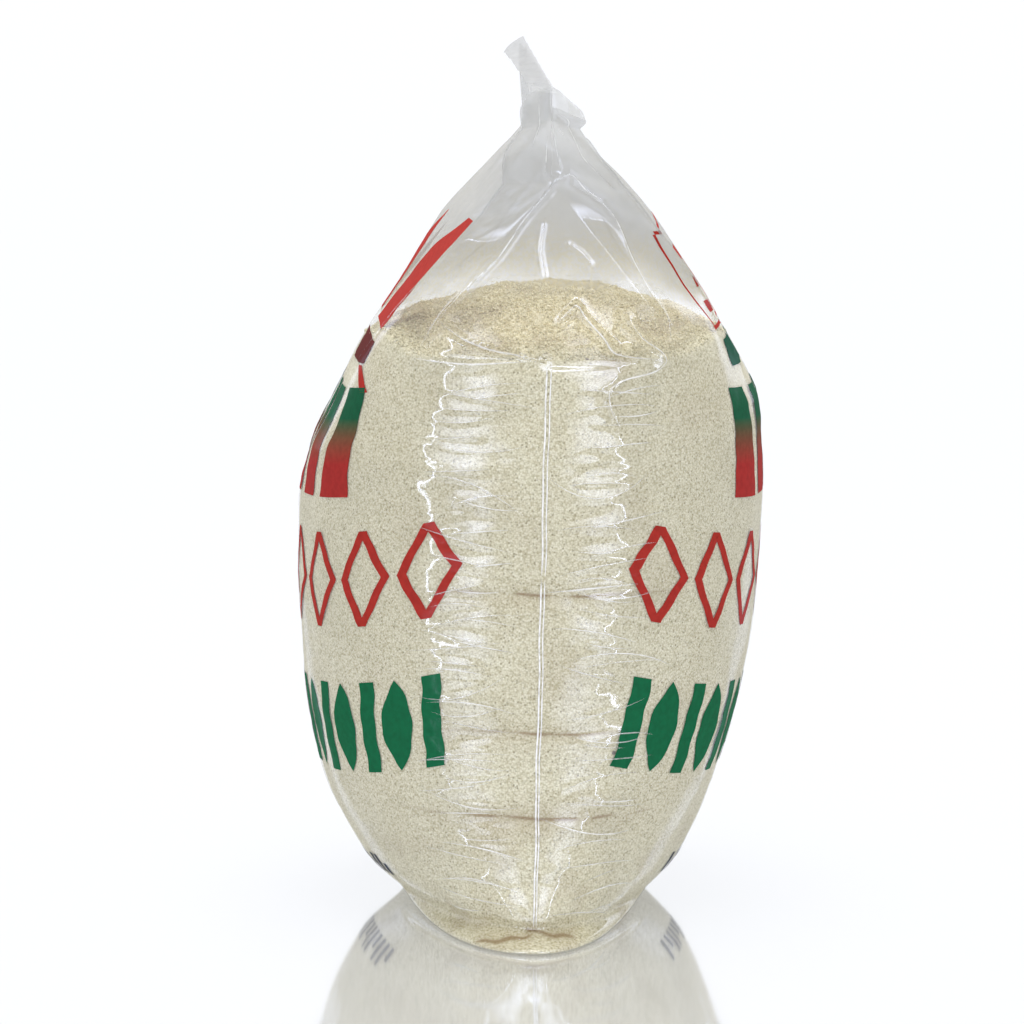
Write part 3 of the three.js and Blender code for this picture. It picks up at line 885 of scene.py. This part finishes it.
def swept(*edges):
    """As traced, joined by smooth curves."""
    left = curve_through([(edge[0], edge[1]) for edge in edges])
    right = curve_through([(edge[0], edge[2]) for edge in edges])
    return edges[0][0], edges[-1][0], lambda z: float(left(z)), lambda z: float(right(z))


def bar(low, high, left, right, lean=0.0):
    return traced((low, left, right), (high, left + lean, right + lean))


def leaf(low, high, centre, half, lean):
    """A lens standing on its point."""
    edges = []
    for share in np.linspace(0, 1, 13):
        middle = centre + lean * share
        bulge = half * max(math.sin(math.pi * share), 0.0) ** 0.8
        edges.append((mix(low, high, share), middle - bulge, middle + bulge))
    return traced(*edges)


def diamond(low, high, left, right, stroke):
    """An outlined diamond, as four strokes."""
    waist, centre, half = (low + high) / 2, (left + right) / 2, stroke / 2
    tip = (centre - half, centre + half)
    return [
        traced((low, *tip), (waist, left, left + stroke)),
        traced((low, *tip), (waist, right - stroke, right)),
        traced((waist, left, left + stroke), (high, *tip)),
        traced((waist, right - stroke, right), (high, *tip)),
    ]


def spread(first, last, width, count):
    """The left edges of a row of shapes of a width, from first to last."""
    return [mix(first, last - width, i / (count - 1)) for i in range(count)]


def fading_row():
    """Bold blocks, alternately wide at the foot and at the top."""
    low, high, first, last, count, gap = 167.0, 211.0, -63.0, 75.0, 5, 5.0
    pitch = (last - first + gap) / count
    shapes = []
    for i in range(count):
        left = first + i * pitch
        wide = (left, left + pitch - gap)
        slim = (left + 3.5, left + pitch - gap - 3.5)
        foot, top = (wide, slim) if i % 2 == 0 else (slim, wide)
        shapes.append(traced((low, *foot), (high, *top)))
    return shapes


def lattice_row():
    """Tall thin-lined diamonds."""
    low, high, width, stroke = 115.0, 153.0, 29.0, 4.6
    shapes = []
    for left in spread(-124.0, 133.0, width, 8):
        shapes += diamond(low, high, left, left + width, stroke)
    return shapes


def leaf_row():
    """Bold leaning bars with a leaf between each two."""
    low, high, width = 56.5, 92.5, 8.5
    shapes = []
    for left in spread(-120.0, 121.0, width, 8):
        shapes.append(bar(low, high, left, left + width, 3.0))
        shapes.append(leaf(low, high, left + 20.5, 8.0, 2.5))
    return shapes[:-1]


def small_row():
    """A low line of small leaning bars, every third one short."""
    low, short, high, width = 13.0, 17.8, 21.0, 2.8
    shapes = []
    for i, left in enumerate(spread(-38.0, 50.0, width, 14)):
        shapes.append(bar(low, short if i % 3 == 1 else high, left, left + width, 1.2))
    return shapes


def sprout():
    """Blades fanning out over the top of the left face, and a small one apart below them."""
    return [
        swept((238, 18, 60), (252, 26, 68), (268, 44, 79), (284, 78, 91)),
        swept((240, -18, 8), (254, -14, 10), (268, -2, 16), (281, 20, 23)),
        swept((240, -50, -26), (254, -56, -31), (266, -62, -44), (276, -64, -61)),
        traced((209, 68, 74), (221, 55, 60)),
    ]


def frame_box():
    """A thin outlined box with three short leaning bars in it. Its left side leans with the bag's edge."""
    low, high, left, left_top, right, line = 237.0, 279.0, -54.0, -81.0, -4.0, 1.5
    lean = (left_top - left) / (high - low)
    shapes = [
        traced((low, left, right), (low + line, left + lean * line, right)),
        traced((high - line, left_top - lean * line, right), (high, left_top, right)),
        traced((low + line, left, left + line), (high - line, left_top, left_top + line)),
        bar(low + line, high - line, right - line, right),
    ]
    for foot, start, end in ((243, -48, -28), (254, -54, -34), (265, -60, -38)):
        shapes.append(traced((foot, start, end), (foot + 5, start - 3, end - 3)))
    return shapes


def build_print(film, inks):
    """The rows go round both faces, and each face has its own motif above them. A piece has one ink."""
    printer = Printer(film)
    both, left, right = ("left", "right"), ("left",), ("right",)
    pieces = [
        ("print_fading_blocks", "print_red", inks["fading"], [(both, fading_row())]),
        ("print_red_rows", "print_red", inks["red"], [(both, lattice_row())]),
        ("print_red_motifs", "print_red", inks["red"], [(left, sprout()), (right, frame_box())]),
        ("print_green_leaves", "print_green", inks["green"], [(both, leaf_row())]),
        ("print_dark_block", "print_dark", inks["dark"], [(left, [bar(222, 233, 4, 62)])]),
        ("print_small_bars", "print_dark", inks["navy"], [(both, small_row())]),
        ("print_teal_block", "print_green", inks["teal"], [(right, [bar(220, 232, -46, 0)])]),
    ]
    for name, slot, ink, laid in pieces:
        patches = [
            printer.patch(side, *shape) for sides, shapes in laid for side in sides for shape in shapes
        ]
        starts = np.cumsum([0] + [len(spots) for spots, _, _ in patches])
        points = np.concatenate([spots for spots, _, _ in patches])
        faces = np.concatenate([faces + start for (_, faces, _), start in zip(patches, starts)])
        values = {"share": np.concatenate([shares for _, _, shares in patches])}
        make_object(name, points, faces, ink, values)


# --- Materials ---

FILM_THROUGH = 0.55  # the share of what milky film scatters that comes out behind it
INK_THROUGH = 0.08
# The print's inks, the fading one as its colours at the foot and at the top of a shape.
INKS = {
    "red": [(0.395, 0.027, 0.019)],
    "green": [(0.0025, 0.125, 0.048)],
    "dark": [(0.107, 0.011, 0.009)],
    "teal": [(0.005, 0.078, 0.043)],
    "navy": [(0.028, 0.042, 0.085)],
    "fading": [(0.376, 0.025, 0.022), (0.005, 0.095, 0.041)],
}
WHITE = (1, 1, 1, 1)


def add_node(tree, kind, inputs=None, **settings):
    """A shader node with its inputs set to values or joined to other nodes' sockets."""
    node = tree.nodes.new(kind)
    for name, value in settings.items():
        setattr(node, name, value)
    for key, value in (inputs or {}).items():
        if isinstance(value, bpy.types.NodeSocket):
            tree.links.new(value, node.inputs[key])
        else:
            node.inputs[key].default_value = value
    return node


def ramp(tree, factor, *stops):
    """A colour ramp's output for a factor, with stops as (place, colour)."""
    node = add_node(tree, "ShaderNodeValToRGB", {"Fac": factor})
    elements = node.color_ramp.elements
    while len(elements) < len(stops):
        elements.new(0.5)
    for element, (place, colour) in zip(elements, stops):
        element.position = place
        element.color = (*colour, 1)
    return node.outputs["Color"]


def grey_ramp(tree, factor, *stops):
    return ramp(tree, factor, *((place, (grey, grey, grey)) for place, grey in stops))


def blend(tree, factor, a, b, mode="MIX"):
    """Two colours blended, each given as a colour or a socket."""
    a, b = ((*value, 1) if isinstance(value, tuple) else value for value in (a, b))
    inputs = {0: factor, 6: a, 7: b}
    return add_node(tree, "ShaderNodeMix", inputs, data_type="RGBA", blend_type=mode).outputs[2]


def sums(tree, operation, *values):
    return add_node(tree, "ShaderNodeMath", dict(enumerate(values)), operation=operation).outputs[0]


def new_material(name):
    material = bpy.data.materials.new(name)
    material.use_nodes = True
    material.node_tree.nodes.clear()
    return material, material.node_tree


def surfaced(material, surface):
    """The material, with a shader for its surface."""
    add_node(material.node_tree, "ShaderNodeOutputMaterial", {"Surface": surface})
    return material


def object_place(tree):
    return add_node(tree, "ShaderNodeTexCoord").outputs["Object"]


def stored(tree, name):
    return add_node(tree, "ShaderNodeAttribute", attribute_name=name).outputs["Fac"]


def noise(tree, scale, detail):
    inputs = {"Vector": object_place(tree), "Scale": scale, "Detail": detail}
    return add_node(tree, "ShaderNodeTexNoise", inputs).outputs["Fac"]


def cells(tree, scale, randomness=1.0):
    """The outputs of a pattern of cells: the distance from a cell's middle and the cell's random colour."""
    inputs = {"Vector": object_place(tree), "Scale": scale, "Randomness": randomness}
    return add_node(tree, "ShaderNodeTexVoronoi", inputs).outputs


def channel(tree, colour, number):
    return add_node(tree, "ShaderNodeSeparateColor", {"Color": colour}).outputs[number]


def bumped(tree, height, strength, distance, normal=None):
    inputs = {"Height": height, "Strength": strength, "Distance": distance}
    if normal:
        inputs["Normal"] = normal
    return add_node(tree, "ShaderNodeBump", inputs).outputs["Normal"]


def mixed(tree, share, first, second):
    return add_node(tree, "ShaderNodeMixShader", {0: share, 1: first, 2: second}).outputs[0]


def glossed(tree, under, normal, roughness, head_on, grazing):
    """A shader with a gloss over it that grows from head_on to grazing as the surface turns away."""
    facing = add_node(tree, "ShaderNodeLayerWeight", {"Blend": 0.5, "Normal": normal}).outputs["Facing"]
    share = sums(tree, "MULTIPLY_ADD", sums(tree, "POWER", facing, 5.0), grazing - head_on, head_on)
    inputs = {"Color": WHITE, "Roughness": roughness, "Normal": normal}
    return mixed(tree, share, under, add_node(tree, "ShaderNodeBsdfGlossy", inputs).outputs[0])


def scattered(tree, colour, through):
    """What scatters light of its colour, a share of it through to the other side."""
    front = add_node(tree, "ShaderNodeBsdfDiffuse", {"Color": colour}).outputs[0]
    behind = add_node(tree, "ShaderNodeBsdfTranslucent", {"Color": colour}).outputs[0]
    return mixed(tree, through, front, behind)


def dusted(tree, grey):
    """The film's milky colour with specks of garri dust where it clings."""
    speckled = grey_ramp(tree, noise(tree, 700.0, 1.0), (0.38, 0.35), (0.58, 1))
    share = sums(tree, "MULTIPLY", speckled, stored(tree, "dust"))
    return blend(tree, share, grey[:3], (0.66, 0.615, 0.46))


def film_material(name, grey, embossed=False):
    """Thin clear film, greyer and milkier where it hangs free, with a sharp gloss. It is embossed along a
    seal, and elsewhere garri dust clings to it."""
    material, tree = new_material(name)
    normal = bumped(tree, noise(tree, 150.0, 2.0), 0.2, 0.0002)
    if embossed:
        normal = bumped(tree, cells(tree, 900.0, 0.1)["Distance"], 0.4, 0.0002, normal)
    tint = blend(tree, stored(tree, "free"), (0.985, 0.985, 0.98), (0.76, 0.76, 0.755))
    clear = add_node(tree, "ShaderNodeBsdfTransparent", {"Color": tint}).outputs[0]
    cloudy = sums(tree, "MULTIPLY_ADD", noise(tree, 28.0, 3.0), 0.6, 0.7)
    veil = sums(tree, "MULTIPLY", stored(tree, "veil"), cloudy)
    milky = scattered(tree, grey if embossed else dusted(tree, grey), FILM_THROUGH)
    return surfaced(material, glossed(tree, mixed(tree, veil, clear, milky), normal, 0.06, 0.07, 0.14))


def creased_film_material():
    """Film folded sharply double: a raised line made pale and bright by painted highlight."""
    material, tree = new_material("film_creased_painted_highlight")
    # Painted highlight: the near-white colour stands for the light a crease's crest catches.
    pale = (0.95, 0.95, 0.95, 1)
    soft = noise(tree, 300.0, 2.0)
    share = sums(tree, "MULTIPLY", grey_ramp(tree, soft, (0.3, 0.5), (0.55, 0.95)), stored(tree, "painted_highlight"))
    clear = add_node(tree, "ShaderNodeBsdfTransparent", {"Color": pale}).outputs[0]
    painted_highlight = add_node(tree, "ShaderNodeBsdfDiffuse", {"Color": pale}).outputs[0]
    veiled = mixed(tree, share, clear, painted_highlight)
    return surfaced(material, glossed(tree, veiled, bumped(tree, soft, 0.25, 0.0003), 0.12, 0.04, 0.1))


def grain_colour(tree, grains):
    """Cream granules of differing tones, with painted shade darkening the gaps between them and dark dots
    of painted shade between grains.
    """
    tones = [(0.0, (0.60, 0.565, 0.40)), (0.25, (0.72, 0.685, 0.51)), (1.0, (0.84, 0.81, 0.66))]
    colour = ramp(tree, channel(tree, grains["Color"], 0), *tones)
    # Painted shade: each granule darkens towards its edge, as shade in the gaps.
    gap_shade = ramp(tree, grains["Distance"], (0.35, (1, 1, 1)), (0.8, (0.72, 0.68, 0.58)))
    colour = blend(tree, 1.0, colour, gap_shade, "MULTIPLY")
    # Painted shade: sparse dark dots stand for the shadows between grains.
    gap_shadow_cells = cells(tree, 600.0)
    gap_shadow_dots = grey_ramp(tree, gap_shadow_cells["Distance"], (0.17, 1), (0.31, 0))
    darkness = sums(tree, "MULTIPLY_ADD", channel(tree, gap_shadow_cells["Color"], 0), 0.55, 0.36)
    return blend(tree, sums(tree, "MULTIPLY", gap_shadow_dots, darkness), colour, (0.27, 0.235, 0.125))


def garri_material():
    """Cream granules of about a millimetre, made paler over the mound as painted light, with brown stains
    and painted shade along creases and tucks, and dark specks.
    """
    material, tree = new_material("garri_grains")
    grains = cells(tree, 1300.0)
    patchy = ramp(tree, noise(tree, 40.0, 4.0), (0.35, (1, 1, 1)), (0.7, (0.92, 0.91, 0.88)))
    colour = blend(tree, 1.0, grain_colour(tree, grains), patchy, "MULTIPLY")
    # Painted light: the mound is made about a third paler, standing for the light from above that the film
    # over it holds back.
    painted_top_light = blend(tree, 1.0, colour, (1.33, 1.31, 1.31), "MULTIPLY")
    colour = blend(tree, grey_ramp(tree, stored(tree, "depth"), (0, 0), (0.16, 1)), colour, painted_top_light)
    # Browns the garri where it is stained and where shade is painted along the creases and tucks.
    stained_and_shaded = sums(tree, "MULTIPLY", stored(tree, "stain_and_shade"), 0.85)
    colour = blend(tree, stained_and_shaded, colour, (0.25, 0.16, 0.065))
    specks = cells(tree, 60.0)
    dark = grey_ramp(tree, specks["Distance"], (0.04, 1), (0.07, 0))
    few = sums(tree, "GREATER_THAN", channel(tree, specks["Color"], 1), 0.8)
    colour = blend(tree, sums(tree, "MULTIPLY", dark, few), colour, (0.16, 0.13, 0.11))
    normal = bumped(tree, sums(tree, "SUBTRACT", 1.0, grains["Distance"]), 0.4, 0.0003)
    inputs = {"Base Color": colour, "Roughness": 0.85, "Specular IOR Level": 0.2, "Normal": normal}
    return surfaced(material, add_node(tree, "ShaderNodeBsdfPrincipled", inputs).outputs[0])


def ink_material(name, colour, top_colour=None):
    """Glossy ink on film, slightly uneven; with a top colour it fades to it up each shape."""
    material, tree = new_material("ink_" + name)
    uneven = noise(tree, 420.0, 3.0)
    if top_colour:
        colour = ramp(tree, stored(tree, "share"), (0.3, colour), (0.72, top_colour))
    inked = blend(tree, 1.0, colour, grey_ramp(tree, uneven, (0.3, 0.86), (0.65, 1.06)), "MULTIPLY")
    normal = bumped(tree, uneven, 0.2, 0.0003)
    return surfaced(material, glossed(tree, scattered(tree, inked, INK_THROUGH), normal, 0.12, 0.012, 0.05))


def floor_material():
    """Pale glossy floor that mirrors the bag at a low angle."""
    material, tree = new_material("floor_gloss")
    matte = add_node(tree, "ShaderNodeBsdfDiffuse", {"Color": (0.3, 0.3, 0.3, 1)}).outputs[0]
    glow = add_node(tree, "ShaderNodeEmission", {"Color": WHITE, "Strength": 0.48}).outputs[0]
    lit = add_node(tree, "ShaderNodeAddShader", {0: matte, 1: glow}).outputs[0]
    inputs = {"Color": (0.94, 0.96, 1, 1), "Roughness": 0.07}
    mirror = add_node(tree, "ShaderNodeBsdfGlossy", inputs).outputs[0]
    facing = add_node(tree, "ShaderNodeLayerWeight", {"Blend": 0.5}).outputs["Facing"]
    return surfaced(material, mixed(tree, sums(tree, "POWER", facing, 1.5), lit, mirror))


# --- Stage, light and camera ---


def build_floor():
    bpy.ops.mesh.primitive_plane_add(size=60, location=(0, 0, 0))
    floor = bpy.context.object
    floor.name = "floor"
    floor.data.materials.append(floor_material())


COOL = (0.84, 0.92, 1.2)  # the colour of the lights that show in the gloss
# They are upright and show in gloss alone, as the pale room lights the matte surfaces: degrees to the right
# of the camera as seen from the bag; distance, foot, width and height in metres; radiance.
GLOSS_LIGHTS = {
    "box_left": (-33, 1.2, 0.12, 0.75, 1.0, 3.4),
    "box_right": (25, 1.2, 0.12, 0.75, 1.0, 3.4),
    "strip_left": (-46, 0.48, 0.0, 0.009, 0.6, 9),
    "strip_right": (37, 0.48, 0.0, 0.009, 0.6, 9),
    "box_back_left": (-150, 1.4, 0.12, 0.5, 1.0, 2.4),
    "box_back_right": (145, 1.4, 0.12, 0.5, 1.0, 2.4),
}
FADED_WIDTH = 0.3  # a wider light fades towards its sides


def add_light(name, bearing, distance, bottom, width, height, radiance, tilt=90, lights_matte=False):
    """A rectangular light that faces the bag, upright at a tilt of 90 degrees and facing down at 0."""
    data = bpy.data.lights.new(name, "AREA")
    data.shape = "RECTANGLE"
    data.size, data.size_y = width, height
    data.energy = radiance * math.pi * width * height
    data.color = (1, 1, 1) if lights_matte else COOL
    light = bpy.data.objects.new(name, data)
    angle = math.radians(bearing)
    light.location = (math.sin(angle) * distance, -math.cos(angle) * distance, bottom + height / 2)
    light.rotation_euler = (math.radians(tilt), 0, angle)
    light.visible_camera = False
    light.visible_diffuse = lights_matte
    bpy.context.scene.collection.objects.link(light)
    if width > FADED_WIDTH:
        fade_sides(data)


def fade_sides(data):
    """Makes a light fade from its upper middle towards its sides and foot."""
    data.use_nodes = True
    tree = data.node_tree
    tree.nodes.clear()
    place = add_node(tree, "ShaderNodeNewGeometry").outputs["Parametric"]
    split = add_node(tree, "ShaderNodeSeparateXYZ", {"Vector": place})
    across, up = split.outputs["X"], split.outputs["Y"]
    bell = sums(tree, "POWER", sums(tree, "MULTIPLY", across, sums(tree, "SUBTRACT", 1.0, across)), 1.5)
    strength = sums(tree, "MULTIPLY", bell, sums(tree, "MULTIPLY_ADD", up, 9.0, 6.0))
    glow = add_node(tree, "ShaderNodeEmission", {"Strength": strength}).outputs[0]
    add_node(tree, "ShaderNodeOutputLight", {"Surface": glow})


def build_world():
    """A pale room, a little darker to the sides."""
    world = bpy.data.worlds.new("studio")
    bpy.context.scene.world = world
    world.use_nodes = True
    tree = world.node_tree
    background = tree.nodes["Background"]
    background.inputs["Color"].default_value = WHITE
    way = add_node(tree, "ShaderNodeTexCoord").outputs["Generated"]
    sideways = add_node(tree, "ShaderNodeSeparateXYZ", {"Vector": way}).outputs["X"]
    darker = sums(tree, "MULTIPLY", sums(tree, "MULTIPLY", sideways, sideways), -0.25)
    tree.links.new(sums(tree, "ADD", darker, 1.09), background.inputs["Strength"])


def build_lights():
    """Tall soft boxes and thin strips, a tilted strip in front and one light overhead."""
    for name, numbers in GLOSS_LIGHTS.items():
        add_light(name, *numbers)
    add_light("strip_front", 0, 1.0, 1.08, 1.3, 0.14, 6, tilt=45)
    add_light("box_top", 0, 0, 1.0, 1.0, 1.0, 5.5, tilt=0, lights_matte=True)


def build_camera():
    data = bpy.data.cameras.new("camera")
    data.lens = CAMERA_LENS
    data.sensor_width = 36
    data.clip_end = 100
    camera = bpy.data.objects.new("camera", data)
    camera.location = [v * MM for v in CAMERA_AT]
    drop = math.atan2(CAMERA_AT[2] - CAMERA_AIM[2], CAMERA_AIM[1] - CAMERA_AT[1])
    camera.rotation_euler = (math.radians(90) - drop, 0, 0)
    bpy.context.scene.collection.objects.link(camera)
    bpy.context.scene.camera = camera
    bpy.context.scene.view_settings.view_transform = "Standard"


# --- The whole bag ---


def build_bag():
    """Every piece of the bag."""
    skin = Skin(film_levels(), *FILM_COLUMNS)
    lift = film_lift(skin)
    points = skin.points + skin.normals * lift[..., None]
    points[..., 2] = np.maximum(points[..., 2], 0)
    film = (skin, points, grid_normals(points))

    creased = creased_film_material()
    garri = garri_material()
    inks = {name: ink_material(name, *colours) for name, colours in INKS.items()}
    build_film(film, lift, film_material("film_clear", FILM_GREY))
    mound = build_garri(garri)
    build_grains(mound, film, garri)
    build_fold_line("fold_line_near", film, skin.near_fold, creased)
    build_fold_line("fold_line_far", film, skin.far_fold, creased)
    build_creases("creases_near", "near", film, NEAR_FOLDS + FLAP_FOLDS, creased)
    build_creases("creases_far", "far", film, FLAP_FOLDS, creased)
    build_seal_strip(film_material("film_sealed", SEAL_GREY, embossed=True))
    build_print(film, inks)


build_bag()
build_floor()
build_world()
build_lights()
build_camera()
